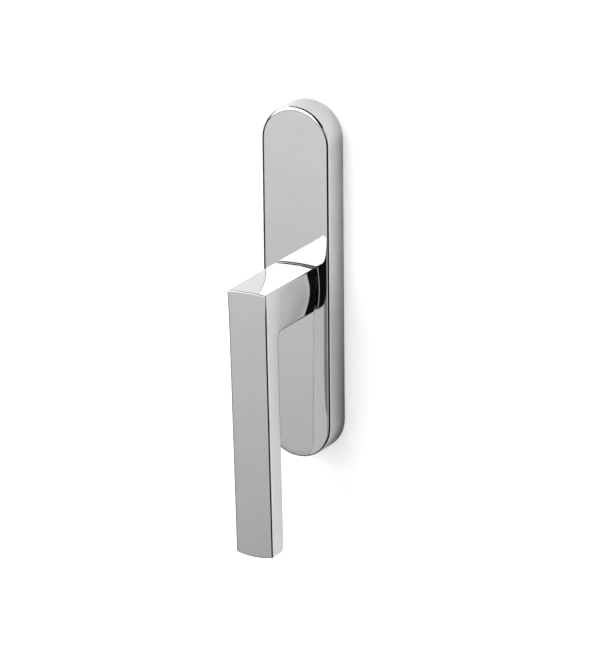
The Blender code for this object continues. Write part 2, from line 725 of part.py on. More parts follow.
# ---- the two racks -------------------------------------------------------------------------
def right_rack_outline():
    """The right rack at rest: teeth face the pinion, and a foot below it reaches the middle."""
    tip_x = PITCH_RADIUS - ADDENDUM
    root_x = PITCH_RADIUS + DEDENDUM
    half_at_pitch = TOOTH_PITCH / 4 - TOOTH_THINNING
    half_tip = half_at_pitch - ADDENDUM * tan(PRESSURE_ANGLE)
    half_root = half_at_pitch + DEDENDUM * tan(PRESSURE_ANGLE)
    foot_low = -PEG_Z - RACK_FOOT_HALF_HEIGHT
    foot_high = -PEG_Z + RACK_FOOT_HALF_HEIGHT
    top = TOOTH_PITCH * (2 * RACK_HALF_TRAVEL_TEETH + 2.5)
    points = [
        (RACK_BACK, top), (RACK_BACK, foot_low), (-RACK_FOOT_REACH, foot_low),
        (-RACK_FOOT_REACH, foot_high), (root_x, foot_high),
    ]
    for number in range(-2, 2 * RACK_HALF_TRAVEL_TEETH + 2):
        z = TOOTH_PITCH * (number + 0.5)
        points += [
            (root_x, z - half_root), (tip_x, z - half_tip),
            (tip_x, z + half_tip), (root_x, z + half_root),
        ]
    points.append((root_x, top))
    return points


def drive_rack(name, side, look, parent):
    """side is 1 on the right and -1 on the left, where the rack is turned half a turn."""
    outline = [(side * x, side * z) for x, z in right_rack_outline()]
    rack = add_object(name, prism(outline, GEAR_FRONT, GEAR_REAR), look, parent)
    hole = prism(circle(PEG_NECK_RADIUS + CLEAR, 20, (0, -side * PEG_Z)), -BEYOND, BEYOND)
    boolean(rack, add_object("cut_" + name + "_peg_hole", hole))
    return rack


def drive_peg(name, place, look, parent):
    """Shouldered peg that carries a rack's motion to the rod in the window profile."""
    profile = [
        (0, PEG_FRONT), (PEG_NECK_RADIUS, PEG_FRONT), (PEG_NECK_RADIUS, PEG_SHOULDER),
        (PEG_RADIUS, PEG_SHOULDER), (PEG_RADIUS, PEG_REACH - PEG_CHAMFER),
        (PEG_RADIUS - PEG_CHAMFER, PEG_REACH), (0, PEG_REACH),
    ]
    return add_object(name, turned(profile, (0, place * PEG_Z), 28), look, parent)


# ---- assembly ------------------------------------------------------------------------------
def build():
    clear_scene()
    chrome = material("polished_chrome", (0.63, 0.635, 0.64), 0.05, 1.0)
    zinc = material("cast_zinc", (0.50, 0.51, 0.52), 0.45, 1.0)
    steel = material("zinc_plated_steel", (0.62, 0.63, 0.62), 0.30, 1.0)
    spring_steel = material("spring_steel", (0.33, 0.34, 0.36), 0.35, 1.0)
    acetal = material("black_acetal", (0.03, 0.03, 0.03), 0.45, 0.0)
    rubber = material("seal_rubber", (0.05, 0.05, 0.05), 0.75, 0.0)

    plate = empty("plate_frame")
    cover_plate(chrome, plate)
    base_plate(zinc, plate)
    rear_plate(steel, plate)
    edge_seal(rubber, plate)
    base_bush(acetal, plate)
    glide_ring(acetal, plate)
    thrust_washer(steel, plate)
    for label, place in (("upper", 1), ("lower", -1)):
        cover_clip("cover_clip_" + label, place, spring_steel, plate)
        fixing_screw("fixing_screw_" + label, place, steel, plate)
        fixing_washer("fixing_washer_" + label, place, steel, plate)
    for number, centre in enumerate(rear_screw_places(), 1):
        rear_plate_screw(f"rear_plate_screw_{number}", centre, steel, plate)
    for label, side in (("right", 1), ("left", -1)):
        detent_spring("detent_spring_" + label, side, spring_steel, plate)

    axis = empty("handle_axis")
    handle_lever(chrome, axis)
    neck_grub_screw(spring_steel, axis)
    square_spindle(steel, axis)
    detent_cam(steel, axis)
    retaining_ring(spring_steel, axis)
    drive_pinion(steel, axis)

    for label, side, peg in (("right", 1, "lower"), ("left", -1, "upper")):
        slide = empty("rack_slide_" + label)
        drive_rack("drive_rack_" + label, side, steel, slide)
        drive_peg("drive_peg_" + peg, -side, steel, slide)


build()
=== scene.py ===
"""Looks of the window handle: fine surfaces, materials, studio and camera.

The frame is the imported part's: metres, +Z up, +X to the right of someone who faces the handle, +Y
into the window, with the origin on the spindle axis in the plane of the window profile.
"""
import json
from math import atan2, cos, floor, pi, radians, sin, sqrt, tan

import bmesh
import bpy
from mathutils import Matrix, Vector

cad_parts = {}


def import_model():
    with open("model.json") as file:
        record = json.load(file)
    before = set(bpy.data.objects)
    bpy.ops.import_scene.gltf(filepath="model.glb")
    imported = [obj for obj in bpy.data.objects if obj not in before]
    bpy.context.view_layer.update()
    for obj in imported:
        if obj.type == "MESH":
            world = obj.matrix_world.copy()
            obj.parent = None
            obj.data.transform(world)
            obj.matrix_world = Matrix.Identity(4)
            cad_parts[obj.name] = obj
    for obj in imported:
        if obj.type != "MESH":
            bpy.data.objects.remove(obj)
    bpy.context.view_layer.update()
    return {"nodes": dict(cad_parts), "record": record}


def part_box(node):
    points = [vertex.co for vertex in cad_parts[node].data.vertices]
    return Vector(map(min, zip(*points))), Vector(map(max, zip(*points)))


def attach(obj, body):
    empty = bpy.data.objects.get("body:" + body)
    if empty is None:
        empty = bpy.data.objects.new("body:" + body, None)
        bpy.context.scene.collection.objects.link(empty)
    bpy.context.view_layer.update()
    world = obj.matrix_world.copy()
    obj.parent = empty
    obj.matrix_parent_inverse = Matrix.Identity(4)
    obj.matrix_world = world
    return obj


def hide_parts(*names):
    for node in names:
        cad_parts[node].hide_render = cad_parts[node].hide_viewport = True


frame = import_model()

# ---- sizes read from the frame ---------------------------------------------------------------
COVER_LOW, COVER_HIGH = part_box("cover_plate")
LEVER_LOW, LEVER_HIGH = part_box("handle_lever")
RING_LOW, RING_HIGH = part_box("glide_ring")
SPINDLE_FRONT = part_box("square_spindle")[0].y
COVER_HALF_WIDTH = COVER_HIGH.x
COVER_HALF_STRAIGHT = (COVER_HIGH.z - COVER_LOW.z) / 2 - COVER_HALF_WIDTH
COVER_MIDDLE = (COVER_HIGH.z + COVER_LOW.z) / 2
COVER_FACE = COVER_LOW.y

# ---- the cover -------------------------------------------------------------------------------
COVER_EDGE_RADIUS = 0.0012
COVER_LEAD_WIDTH = 0.0030   # over this width the face bends down to meet its edge
COVER_LEAD_ANGLE = radians(13)
COVER_DRAFT = 0.0001        # the side leans in by this much towards the front
COVER_REAR_RADIUS = 0.0003
COVER_SIDE_WALL = 0.0014
COVER_FRONT_WALL = 0.0027
NECK_HOLE_RADIUS = 0.0092
HOLE_CHAMFER = 0.0002

# ---- the lever -------------------------------------------------------------------------------
TOP_CROWN = 0.0006
END_CROWN = 0.0012
CROWN_FADE = 0.0090         # length over which a crown dies out along the grip
GRIP_WIDTH = 0.0200
GRIP_END_WIDTH = 0.0196
GRIP_THICKNESS = 0.0108
GRIP_LEAN = radians(1.7)
NECK_HEIGHT = 0.02075
NECK_GAP = 0.0014
BOSS_RADIUS = 0.0098
NECK_LIP_RADIUS = 0.0009
NECK_LIP_EDGE_RADIUS = 0.0014   # the neck's long edges grow rounder towards the plate
NECK_CORNER_SWELL = 0.0007  # the neck widens towards the plate, a little more at half its height
NECK_SIDE_SWELL = 0.0015
SWELL_START = -0.0460
SWELL_POWER = 1.7
LONG_EDGE_RADIUS = 0.0011
NECK_TOP_EDGE_RADIUS = 0.0005
END_EDGE_RADIUS = 0.0007
INNER_CORNER_RADIUS = 0.0025
END_BACK_RADIUS = 0.0030
SOCKET_HALF = 0.0038        # the square hole for the spindle
SOCKET_CORNER = 0.0002
SOCKET_END_GAP = 0.0006     # between the spindle and the bottom of its hole
GRUB_Y = -0.0240
GRUB_HOLE_RADIUS = 0.00315
GRUB_HOLE_TOP = -0.0018
GRUB_KEY_TOP = -0.0070

LEVER_FRONT = LEVER_LOW.y
LEVER_TOP = LEVER_HIGH.z - TOP_CROWN
LEVER_END = LEVER_LOW.z + END_CROWN
NECK_BOTTOM = LEVER_TOP - NECK_HEIGHT
NECK_END = COVER_FACE - NECK_GAP
BOSS_END = LEVER_HIGH.y
LEAN_SLOPE = tan(GRIP_LEAN)

# ---- camera ----------------------------------------------------------------------------------
CAMERA_YAW = radians(28.839)
CAMERA_PITCH = radians(19.056)
CAMERA_ROLL = radians(-0.605)
CAMERA_LENS_MM = 209.46
CAMERA_DISTANCE = 1.8038
CAMERA_PAN_X = -0.004999
CAMERA_PAN_Y = -0.026454


def make_camera():
    """Long lens, from the right and above, aimed a little below the spindle."""
    back = Vector((
        sin(CAMERA_YAW) * cos(CAMERA_PITCH),
        -cos(CAMERA_YAW) * cos(CAMERA_PITCH),
        sin(CAMERA_PITCH),
    ))
    level_right = Vector((cos(CAMERA_YAW), sin(CAMERA_YAW), 0))
    level_up = back.cross(level_right)
    right = cos(CAMERA_ROLL) * level_right + sin(CAMERA_ROLL) * level_up
    up = cos(CAMERA_ROLL) * level_up - sin(CAMERA_ROLL) * level_right
    place = CAMERA_PAN_X * right + CAMERA_PAN_Y * up + CAMERA_DISTANCE * back
    lens = bpy.data.cameras.new("camera")
    lens.lens = CAMERA_LENS_MM
    lens.clip_start = 0.1
    lens.clip_end = 20
    camera = bpy.data.objects.new("camera", lens)
    columns = Matrix((right, up, back)).transposed().to_4x4()
    camera.matrix_world = Matrix.Translation(place) @ columns
    bpy.context.scene.collection.objects.link(camera)
    bpy.context.scene.camera = camera


# ---- mesh tools ------------------------------------------------------------------------------
def add_object(name, bm, sharp_angle=35):
    bmesh.ops.recalc_face_normals(bm, faces=bm.faces)
    mesh = bpy.data.meshes.new(name)
    bm.to_mesh(mesh)
    bm.free()
    mesh.shade_smooth()
    mesh.set_sharp_from_angle(angle=radians(sharp_angle))
    made = bpy.data.objects.new(name, mesh)
    bpy.context.scene.collection.objects.link(made)
    return made


def even_shading(piece):
    """Keeps broad faces flat right up to their rounded edges."""
    step = piece.modifiers.new("even_shading", "WEIGHTED_NORMAL")
    step.mode = "FACE_AREA"
    step.weight = 100
    step.keep_sharp = True


def apply_modifiers(piece):
    """Replaces the mesh by what its modifiers make of it, with its materials and shading."""
    bpy.context.view_layer.update()
    seen = piece.evaluated_get(bpy.context.evaluated_depsgraph_get())
    mesh = bpy.data.meshes.new_from_object(seen)
    piece.modifiers.clear()
    piece.data = mesh


def cut(piece, cutter, sharp_angle=35):
    """Takes the cutter's shape out of the piece, and throws the cutter away."""
    step = piece.modifiers.new("cut", "BOOLEAN")
    step.operation = "DIFFERENCE"
    step.solver = "EXACT"
    step.object = cutter
    apply_modifiers(piece)
    bpy.data.objects.remove(cutter)
    piece.data.shade_smooth()
    piece.data.set_sharp_from_angle(angle=radians(sharp_angle))


def arc(centre, radius, start, end, steps):
    """Points on an arc, both ends included."""
    points = []
    for i in range(steps + 1):
        angle = start + (end - start) * i / steps
        points.append((centre[0] + radius * cos(angle), centre[1] + radius * sin(angle)))
    return points


def bridge(bm, near, far):
    """A band of faces between two closed rings with as many points."""
    for i in range(len(near)):
        bm.faces.new((near[i - 1], near[i], far[i], far[i - 1]))


def turned(profile, centre=(0, 0), steps=64, direction="Y"):
    """A piece turned about an axis, from a closed profile of (radius, place along the axis).

    A profile that starts and ends on the axis makes a solid piece, and any other makes a ring.
    """
    bm = bmesh.new()
    rings = []
    for radius, along in profile:
        ring = []
        for i in range(1 if radius == 0 else steps):
            across = radius * cos(2 * pi * i / steps)
            up = radius * sin(2 * pi * i / steps)
            place = (centre[0] + across, along, centre[1] + up)
            if direction == "Z":
                place = (centre[0] + across, centre[1] + up, along)
            ring.append(bm.verts.new(place))
        rings.append(ring)
    if len(rings[0]) > 1:
        rings.append(rings[0])
    for one, two in zip(rings, rings[1:]):
        for i in range(steps):
            corners = []
            for ring, k in ((one, i), (one, i + 1), (two, i + 1), (two, i)):
                vert = ring[k % len(ring)]
                if vert not in corners:
                    corners.append(vert)
            if len(corners) > 2:
                bm.faces.new(corners)
    return bm


def rounded(profile, radius, steps=3, closed=False):
    """The profile with its corners rounded off; the ends of an open profile stay as they are."""
    points = []
    count = len(profile)
    for i, corner in enumerate(profile):
        if not closed and i in (0, count - 1):
            points.append(corner)
            continue
        here = Vector(corner)
        before = Vector(profile[i - 1]) - here
        after = Vector(profile[(i + 1) % count]) - here
        cut_back = min(radius, before.length / 2.5, after.length / 2.5)
        start = here + before.normalized() * cut_back
        end = here + after.normalized() * cut_back
        for k in range(steps + 1):
            t = k / steps
            point = (1 - t) ** 2 * start + 2 * t * (1 - t) * here + t * t * end
            points.append((point.x, point.y))
    return points


# ---- material tools --------------------------------------------------------------------------
class Nodes:
    """Short ways to add and wire shader nodes."""

    def __init__(self, tree):
        self.tree = tree
        tree.nodes.clear()

    def add(self, kind, inputs=None, **settings):
        node = self.tree.nodes.new(kind)
        for name, value in settings.items():
            setattr(node, name, value)
        for name, value in (inputs or {}).items():
            self.set(node.inputs[name], value)
        return node

    def set(self, socket, value):
        if isinstance(value, bpy.types.NodeSocket):
            self.tree.links.new(value, socket)
        else:
            socket.default_value = value

    def math(self, operation, *values, clamp=False):
        node = self.add("ShaderNodeMath", operation=operation, use_clamp=clamp)
        for socket, value in zip(node.inputs, values):
            self.set(socket, value)
        return node.outputs[0]

    def noise(self, scale, detail=3.0, rough=0.55, stretch=(1, 1, 1)):
        """Noise of about 0 to 1, fixed to the piece; scale is in cycles a metre."""
        place = self.add("ShaderNodeTexCoord").outputs["Object"]
        mapping = self.add("ShaderNodeMapping", {"Vector": place, "Scale": stretch})
        node = self.add("ShaderNodeTexNoise", {
            "Vector": mapping.outputs[0], "Scale": scale, "Detail": detail, "Roughness": rough,
        })
        return node.outputs["Fac"]

    def ramp(self, value, low, high, out_low=0.0, out_high=1.0, smooth=True):
        node = self.add("ShaderNodeMapRange", {
            "Value": value, "From Min": low, "From Max": high, "To Min": out_low, "To Max": out_high,
        })
        if smooth:
            node.interpolation_type = "SMOOTHSTEP"
        return node.outputs[0]

    def mix(self, share, one, two):
        node = self.add("ShaderNodeMix", data_type="RGBA")
        self.set(node.inputs[0], share)
        self.set(node.inputs[6], one)
        self.set(node.inputs[7], two)
        return node.outputs[2]

    def bump(self, height, distance, strength=1.0, normal=None):
        inputs = {"Height": height, "Distance": distance, "Strength": strength}
        if normal is not None:
            inputs["Normal"] = normal
        return self.add("ShaderNodeBump", inputs).outputs[0]


def new_material(name):
    made = bpy.data.materials.new(name)
    made.use_nodes = True
    nodes = Nodes(made.node_tree)
    output = nodes.add("ShaderNodeOutputMaterial")
    shader = nodes.add("ShaderNodeBsdfPrincipled")
    made.node_tree.links.new(shader.outputs[0], output.inputs["Surface"])
    return made, nodes, shader


def grey(level, tint=0.0):
    """Opaque grey; tint above nothing makes it a little blue."""
    return (level * (1 - tint), level, level * (1 + tint), 1)


def polished_chrome():
    """Mirror plating over hand-polished brass: slow waves, faint wheel marks and hazier patches."""
    made, nodes, shader = new_material("polished_chrome_finish")
    haze = nodes.noise(55, 4, 0.6)
    marks = nodes.noise(900, 3, 0.5, stretch=(1.0, 1.0, 0.06))
    roughness = nodes.math("ADD", nodes.ramp(haze, 0.35, 0.75, 0.035, 0.060),
                           nodes.ramp(marks, 0.55, 0.80, 0.0, 0.020))
    tone = nodes.mix(nodes.ramp(haze, 0.3, 0.7), grey(0.625, 0.008), grey(0.645, 0.010))
    wave = nodes.bump(nodes.noise(38, 1, 0.4), 0.0004, 0.05)
    nodes.set(shader.inputs["Base Color"], tone)
    nodes.set(shader.inputs["Metallic"], 1.0)
    nodes.set(shader.inputs["Roughness"], roughness)
    nodes.set(shader.inputs["Normal"], wave)
    return made


def cast_zinc():
    """Die-cast surface: a fine frosted skin with flow marks and darker patches."""
    made, nodes, shader = new_material("cast_zinc_finish")
    flow = nodes.noise(140, 4, 0.6, stretch=(1.0, 1.0, 0.35))
    grain = nodes.noise(5200, 2, 0.6)
    tone = nodes.mix(nodes.ramp(flow, 0.3, 0.7), grey(0.40, 0.01), grey(0.56, 0.015))
    bumps = nodes.bump(grain, 0.00004, 0.5, nodes.bump(flow, 0.0002, 0.25))
    nodes.set(shader.inputs["Base Color"], tone)
    nodes.set(shader.inputs["Metallic"], 1.0)
    nodes.set(shader.inputs["Roughness"], nodes.ramp(flow, 0.25, 0.8, 0.36, 0.52))
    nodes.set(shader.inputs["Normal"], bumps)
    return made


def plated_steel():
    """Bright zinc plating: a faint blue and straw cast over fine drawn lines."""
    made, nodes, shader = new_material("plated_steel_finish")
    cloud = nodes.noise(220, 3, 0.55)
    lines = nodes.noise(2600, 2, 0.5, stretch=(1.0, 0.08, 1.0))
    cool = (0.60, 0.64, 0.69, 1)
    warm = (0.70, 0.68, 0.60, 1)
    tone = nodes.mix(nodes.ramp(cloud, 0.35, 0.70), cool, warm)
    nodes.set(shader.inputs["Base Color"], tone)
    nodes.set(shader.inputs["Metallic"], 1.0)
    nodes.set(shader.inputs["Roughness"], nodes.ramp(lines, 0.3, 0.8, 0.22, 0.36))
    nodes.set(shader.inputs["Normal"], nodes.bump(lines, 0.00003, 0.5))
    return made


def spring_steel():
    """Blued and oiled strip: dark, with straw-coloured patches where the oil is thin."""
    made, nodes, shader = new_material("spring_steel_finish")
    cloud = nodes.noise(300, 3, 0.6)
    lines = nodes.noise(3400, 2, 0.5, stretch=(1.0, 1.0, 0.08))
    tone = nodes.mix(nodes.ramp(cloud, 0.4, 0.75), (0.16, 0.17, 0.20, 1), (0.30, 0.27, 0.22, 1))
    nodes.set(shader.inputs["Base Color"], tone)
    nodes.set(shader.inputs["Metallic"], 1.0)
    nodes.set(shader.inputs["Roughness"], nodes.ramp(lines, 0.3, 0.8, 0.28, 0.42))
    nodes.set(shader.inputs["Normal"], nodes.bump(lines, 0.00003, 0.4))
    return made


def black_acetal():
    """Moulded acetal: a waxy black with a fine spark-eroded texture."""
    made, nodes, shader = new_material("black_acetal_finish")
    cloud = nodes.noise(400, 2, 0.5)
    grain = nodes.noise(7000, 2, 0.6)
    tone = nodes.mix(nodes.ramp(cloud, 0.3, 0.7), grey(0.020), grey(0.034))
    nodes.set(shader.inputs["Base Color"], tone)
    nodes.set(shader.inputs["Roughness"], nodes.ramp(grain, 0.3, 0.7, 0.34, 0.48))
    nodes.set(shader.inputs["Normal"], nodes.bump(grain, 0.00003, 0.35))
    return made


def seal_rubber():
    """Matt extruded rubber, with drag lines along its length and a little dust."""
    made, nodes, shader = new_material("seal_rubber_finish")
    dust = nodes.noise(900, 4, 0.7)
    grain = nodes.noise(4200, 2, 0.6)
    tone = nodes.mix(nodes.ramp(dust, 0.55, 0.85), grey(0.022), grey(0.075))
    nodes.set(shader.inputs["Base Color"], tone)
    nodes.set(shader.inputs["Roughness"], nodes.ramp(grain, 0.3, 0.7, 0.62, 0.80))
    nodes.set(shader.inputs["Normal"], nodes.bump(grain, 0.00005, 0.5))
    return made


# ---- the cover plate -------------------------------------------------------------------------
def stadium_frame():
    """Points round the cover as (spine point, outward direction), both (x, z).

    Along the straight sides they stand at equal angles as seen from the spindle, so that the round
    hole in the middle of the face gets evenly spaced points too.
    """
    side_steps = 32
    end_steps = 48
    steepest = atan2(COVER_HALF_STRAIGHT, COVER_HALF_WIDTH)
    sides = []
    for i in range(1, side_steps):
        height = COVER_HALF_WIDTH * tan(steepest * (2 * i / side_steps - 1))
        sides.append(height)
    points = []
    for x, z in arc((0, 0), 1, 0, pi, end_steps):
        points.append(((0, COVER_MIDDLE + COVER_HALF_STRAIGHT), (x, z)))
    for height in reversed(sides):
        points.append(((0, COVER_MIDDLE + height), (-1, 0)))
    for x, z in arc((0, 0), 1, pi, 2 * pi, end_steps):
        points.append(((0, COVER_MIDDLE - COVER_HALF_STRAIGHT), (x, z)))
    for height in sides:
        points.append(((0, COVER_MIDDLE + height), (1, 0)))
    return points


def stadium_ring(bm, half_width, y):
    ring = []
    for spine, out in stadium_frame():
        ring.append(bm.verts.new((spine[0] + half_width * out[0], y, spine[1] + half_width * out[1])))
    return ring


def hole_ring(bm, radius, y):
    """Points on the neck hole, each in the direction of its partner on the cover's outline."""
    ring = []
    for spine, out in stadium_frame():
        angle = atan2(spine[1] + COVER_HALF_WIDTH * out[1], COVER_HALF_WIDTH * out[0])
        ring.append(bm.verts.new((radius * cos(angle), y, radius * sin(angle))))
    return ring


def front_edge():
    """(inset, depth) from the cover's side, round its front edge and along the lead-in to it.

    The lead-in is a cubic, so it is three times as steep at the edge as it is on average.
    """
    tilt = COVER_LEAD_ANGLE
    radius = COVER_EDGE_RADIUS
    lead_drop = tan(tilt) * COVER_LEAD_WIDTH / 3
    points = arc((radius, lead_drop + radius * cos(tilt)), radius, pi, 1.5 * pi - tilt, 12)
    edge_width = points[-1][0]
    lead_steps = 14
    for i in range(1, lead_steps + 1):
        left = 1 - i / lead_steps
        points.append((edge_width + COVER_LEAD_WIDTH * (1 - left), lead_drop * left ** 3))
    return points


def cover_plate():
    """Polished shell: a softly rolled front edge, thin walls and a hollow rear."""
    bm = bmesh.new()
    rings = []
    inner_half = COVER_HALF_WIDTH - COVER_SIDE_WALL
    inner_face = COVER_FACE + COVER_FRONT_WALL
    rear = COVER_HIGH.y
    inner_fillet = COVER_EDGE_RADIUS
    rings.append(hole_ring(bm, NECK_HOLE_RADIUS, inner_face))
    for inset, depth in arc((inner_fillet, inner_fillet), inner_fillet, 1.5 * pi, pi, 4):
        rings.append(stadium_ring(bm, inner_half - inset, inner_face + depth))
    rings.append(stadium_ring(bm, inner_half, rear - COVER_REAR_RADIUS))
    rings.append(stadium_ring(bm, inner_half + COVER_REAR_RADIUS / 2, rear))
    for inset, depth in arc((COVER_REAR_RADIUS, COVER_REAR_RADIUS), COVER_REAR_RADIUS,
                            1.5 * pi, pi, 4):
        rings.append(stadium_ring(bm, COVER_HALF_WIDTH - inset, rear - depth))
    for inset, depth in front_edge():
        rings.append(stadium_ring(bm, COVER_HALF_WIDTH - COVER_DRAFT - inset, COVER_FACE + depth))
    rings.append(hole_ring(bm, NECK_HOLE_RADIUS + HOLE_CHAMFER, COVER_FACE))
    rings.append(hole_ring(bm, NECK_HOLE_RADIUS, COVER_FACE + HOLE_CHAMFER))
    rings.append(rings[0])
    for near, far in zip(rings, rings[1:]):
        bridge(bm, near, far)
    piece = add_object("cover_plate_shell", bm)
    even_shading(piece)
    return piece


# ---- the lever -------------------------------------------------------------------------------
ROW_STEPS = 18
SIDE_STEPS = 12
CORNER_STEPS = 6
EDGE_STEPS = 8              # rings round the edge of the neck's end, and of the grip's


def section(half_width, length, outer_corner, inner_corner, swell):
    """Outline of the lever's section, round from the left of its outer face.

    Each point is (x, distance from the outer face towards the inner one).
    """
    outer_flat = half_width - outer_corner
    inner_flat = half_width - inner_corner
    shares = [2 * i / ROW_STEPS - 1 for i in range(ROW_STEPS + 1)]
    side = []
    for i in range(SIDE_STEPS + 1):
        u = 2 * i / SIDE_STEPS - 1
        t = outer_corner + (length - outer_corner - inner_corner) * (u + 1) / 2
        side.append((half_width + swell * (1 - u * u), t))
    outer_turn = arc((outer_flat, outer_corner), outer_corner, -pi / 2, 0, CORNER_STEPS)[1:-1]
    inner_turn = arc((inner_flat, length - inner_corner), inner_corner, 0, pi / 2,
                     CORNER_STEPS)[1:-1]
    right = [*outer_turn, *side, *inner_turn]
    left = [(-x, t) for x, t in reversed(right)]
    outer_row = [(outer_flat * share, 0.0) for share in shares]
    inner_row = [(inner_flat * share, length) for share in reversed(shares)]
    return outer_row + right + inner_row + left


def front_at(z):
    return LEVER_FRONT + LEAN_SLOPE * (LEVER_TOP - z)


def back_at(z):
    return front_at(z) + GRIP_THICKNESS


def grip_half_width(z):
    share = max(0.0, (LEVER_TOP - z) / (LEVER_TOP - LEVER_END))
    return (GRIP_WIDTH + (GRIP_END_WIDTH - GRIP_WIDTH) * share) / 2


def neck_swell(y):
    return max(0.0, (y - SWELL_START) / (NECK_END - SWELL_START)) ** SWELL_POWER


def lever_ring(bm, outer, inner, inset=0.0, top=0.0, end=0.0):
    """One ring round the lever, between a point on its outer face and one on its inner face.

    top and end say how much of the crowns at the top and at the grip's end this ring has.
    """
    start = Vector((0, *outer))
    across = Vector((0, *inner)) - start
    length = across.length
    along = across / length
    swell = neck_swell(outer[0])
    corners = []
    for radius in (LONG_EDGE_RADIUS + (NECK_TOP_EDGE_RADIUS - LONG_EDGE_RADIUS) * top,
                   LONG_EDGE_RADIUS):
        grown = radius + (NECK_LIP_EDGE_RADIUS - radius) * swell ** 3
        corners.append(max(grown - inset, grown / 5))
    half_width = grip_half_width(outer[1]) + NECK_CORNER_SWELL * swell - inset
    side_swell = (NECK_SIDE_SWELL - NECK_CORNER_SWELL) * swell
    ring = []
    for x, t in section(half_width, length, *corners, side_swell):
        place = start + along * t + Vector((x, 0, 0))
        bow = max(0.0, 1 - (x / half_width) ** 2)
        lift = -END_CROWN * end * bow
        if t < length / 2:
            lift += TOP_CROWN * top * bow
        else:
            lift -= TOP_CROWN * swell * bow
        place.z += lift
        if end or top < 1:
            place.y -= LEAN_SLOPE * lift
        ring.append(bm.verts.new(place))
    return ring


def square_ring(bm, half, y):
    """A ring of the square spindle hole, with as many points as a section of the lever."""
    outline = section(half, 2 * half, SOCKET_CORNER, SOCKET_CORNER, 0.0)
    return [bm.verts.new((x, y, half - t)) for x, t in outline]


def round_ring(bm, radius, y):
    """A round ring about the spindle's axis, with as many points as a section of the lever."""
    corner = 0.01               # of a square whose half side is 1
    ring = []
    for x, t in section(1.0, 2.0, corner, corner, 0.0):
        angle = atan2(1 - t, x)
        ring.append(bm.verts.new((radius * cos(angle), y, radius * sin(angle))))
    return ring


def neck_rings(bm):
    """From the bottom of the spindle hole, over the boss and the neck's end, to the grip."""
    mouth = 0.0002              # chamfer of the spindle hole
    rings = [
        square_ring(bm, SOCKET_HALF, SPINDLE_FRONT - SOCKET_END_GAP),
        square_ring(bm, SOCKET_HALF, BOSS_END - mouth),
        square_ring(bm, SOCKET_HALF + mouth, BOSS_END),
    ]

    def flat_ring(y, inset):
        outer = (y, LEVER_TOP - inset)
        inner = (y, NECK_BOTTOM + inset)
        return lever_ring(bm, outer, inner, inset, top=1.0)

    boss_edge = 0.0001
    rings.append(round_ring(bm, BOSS_RADIUS - boss_edge, BOSS_END))
    rings.append(round_ring(bm, BOSS_RADIUS, BOSS_END - boss_edge))
    rings.append(round_ring(bm, BOSS_RADIUS, NECK_END))
    lip = NECK_LIP_RADIUS
    for i in range(EDGE_STEPS + 1):
        angle = pi / 2 * i / EDGE_STEPS
        rings.append(flat_ring(NECK_END - lip * (1 - cos(angle)), lip * (1 - sin(angle))))
    neck_steps = 26
    stop = back_at(NECK_BOTTOM) + INNER_CORNER_RADIUS
    for i in range(1, neck_steps):
        rings.append(flat_ring(NECK_END - lip + (stop - NECK_END + lip) * i / neck_steps, 0.0))
    return rings


def corner_rings(bm):
    """Round the bend: a tight outer corner, and an inner one of a larger radius.

    The outer points go along the top, round the tight corner and down the front. Each stage takes
    its share of the quarter turn that the inner points make.
    """
    radius = INNER_CORNER_RADIUS
    centre = (back_at(NECK_BOTTOM) + radius, NECK_BOTTOM - radius)
    tight = END_EDGE_RADIUS
    tight_y = LEVER_FRONT + tight
    tight_z = LEVER_TOP - tight

    def along_top(s):
        return (centre[0] + (tight_y - centre[0]) * s, LEVER_TOP)

    def round_corner(s):
        return (tight_y - tight * sin(s * pi / 2), tight_z + tight * cos(s * pi / 2))

    def down_front(s):
        z = tight_z + (centre[1] - tight_z) * s
        return (front_at(z), z)

    first_share = 0.42
    last_share = 1 - first_share
    stages = (
        (along_top, 0.0, first_share, 8),
        (round_corner, first_share, last_share, 6),
        (down_front, last_share, 1.0, 8),
    )
    rings = []
    for outer_at, first, last, steps in stages:
        is_last = outer_at is down_front
        for i in range(steps + 1 if is_last else steps):
            share = i / steps
            turn = pi / 2 + (first + (last - first) * share) * pi / 2
            inner = (centre[0] + radius * cos(turn), centre[1] + radius * sin(turn))
            outer = outer_at(share)
            fade = min(1.0, max(0.0, (tight_z - outer[1]) / CROWN_FADE))
            rings.append(lever_ring(bm, outer, inner, top=1 - fade if is_last else 1.0))
    return rings


def grip_rings(bm):
    """Down the grip, and in over its rounded end."""
    start = NECK_BOTTOM - INNER_CORNER_RADIUS
    stop = LEVER_END + END_BACK_RADIUS
    rings = []

    def level_ring(z, inset=0.0, back_inset=0.0):
        fade = min(1.0, max(0.0, (LEVER_END + CROWN_FADE - z) / CROWN_FADE))
        outer = (front_at(z) + inset, z)
        inner = (back_at(z) - back_inset, z)
        return lever_ring(bm, outer, inner, inset, end=fade)

    grip_steps = 24
    for i in range(1, grip_steps):
        rings.append(level_ring(start + (stop - start) * i / grip_steps))
    radius = END_BACK_RADIUS
    tight = END_EDGE_RADIUS
    levels = [stop - (stop - LEVER_END - tight) * i / EDGE_STEPS for i in range(EDGE_STEPS)]
    for z in levels:
        rings.append(level_ring(z, 0.0, radius - sqrt(radius ** 2 - (stop - z) ** 2)))
    for i in range(EDGE_STEPS + 1):
        angle = pi / 2 * i / EDGE_STEPS
        z = LEVER_END + tight * (1 - sin(angle))
        back_inset = radius - sqrt(max(0.0, radius ** 2 - (stop - z) ** 2))
        rings.append(level_ring(z, tight * (1 - cos(angle)), back_inset))
    return rings


